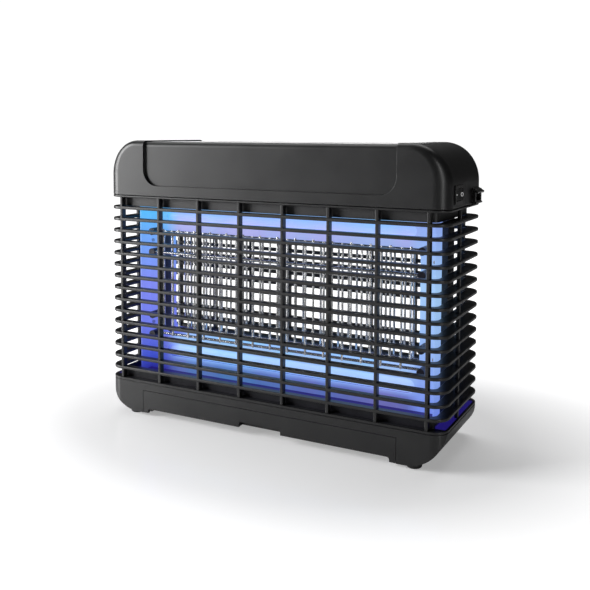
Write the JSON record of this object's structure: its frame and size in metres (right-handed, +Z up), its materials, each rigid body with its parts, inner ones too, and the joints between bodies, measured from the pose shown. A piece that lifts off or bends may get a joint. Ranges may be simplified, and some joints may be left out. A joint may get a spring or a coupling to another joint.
{
  "type": "electric bug zapper",
  "caption": "Free-standing box-shaped insect killer: slatted cage round two tubular lamps and wire grids, under a hood with switch and inlet, over a pull-out tray.",
  "frame": {"origin": "centre of the footprint on the surface the feet stand on, counting the inlet that stands out on the right", "axes": "+X to the right along the width, -Y out of the front with the tray, +Z up"},
  "size_m": [0.3404, 0.1, 0.261],
  "materials": {
    "black_plastic": "satin black ABS with a very fine spark-eroded texture",
    "grille_plastic": "satin black ABS",
    "dark_plastic": "matt black ABS",
    "floor_plastic": "glossy black plastic that mirrors the lamps",
    "foot_rubber": "matt black rubber",
    "reflector_white": "white plastic that glows lavender blue under the lamps",
    "lamp_glass": "phosphor-coated glass, lit blue-violet",
    "holder_white": "white moulded plastic",
    "insulator_dark": "dark moulded plastic",
    "cap_aluminium": "satin aluminium",
    "brass": "plain brass",
    "wire_steel": "bright nickel-plated steel wire",
    "circuit_board": "green glass-fibre board",
    "winding": "enamelled copper winding on a plastic bobbin",
    "capacitor": "red-brown epoxy",
    "switch_black": "smooth black plastic",
    "wire_insulation": "PVC insulation",
    "screw_steel": "zinc-plated steel"
  },
  "bodies": {
    "housing": {"hood_shell": "black_plastic", "hood_deck": "dark_plastic", "front_grille": "grille_plastic", "rear_grille": "grille_plastic", "base_shell": "black_plastic", "base_deck": "floor_plastic", "feet": "foot_rubber", "lamp_column_left": "dark_plastic", "lamp_column_right": "dark_plastic", "front_reflector": "reflector_white", "rear_reflector": "reflector_white", "lamp_holders": "holder_white", "uv_tube_upper": "lamp_glass", "uv_tube_lower": "lamp_glass", "tube_end_caps": "cap_aluminium", "tube_pins": "brass", "front_grid_live": "wire_steel", "front_grid_ground": "wire_steel", "rear_grid_live": "wire_steel", "rear_grid_ground": "wire_steel", "grid_insulators": "insulator_dark", "ballast_case": "cap_aluminium", "ballast_lid": "cap_aluminium", "hv_board": "circuit_board", "hv_transformer": "winding", "hv_capacitors": "capacitor", "board_standoffs": "holder_white", "switch_body": "switch_black", "switch_terminals": "brass", "inlet_body": "switch_black", "inlet_pins": "wire_steel", "internal_wiring": "wire_insulation", "hood_screws": "screw_steel", "base_screws": "screw_steel", "reflector_screws": "screw_steel", "board_screws": "screw_steel"},
    "tray": {"insect_tray": "black_plastic"},
    "rocker": {"switch_rocker": "switch_black"}
  },
  "joints": [
    {"name": "tray_slide", "type": "slide", "parent": "housing", "child": "tray", "axis": [0, -1, 0], "range_m": [0, 0.085]},
    {"name": "switch_rocker", "type": "hinge", "parent": "housing", "child": "rocker", "pos_m": [0.16135, -0.023, 0.22], "axis": [0, 0, 1], "range_deg": [0, 21.4]}
  ]
}
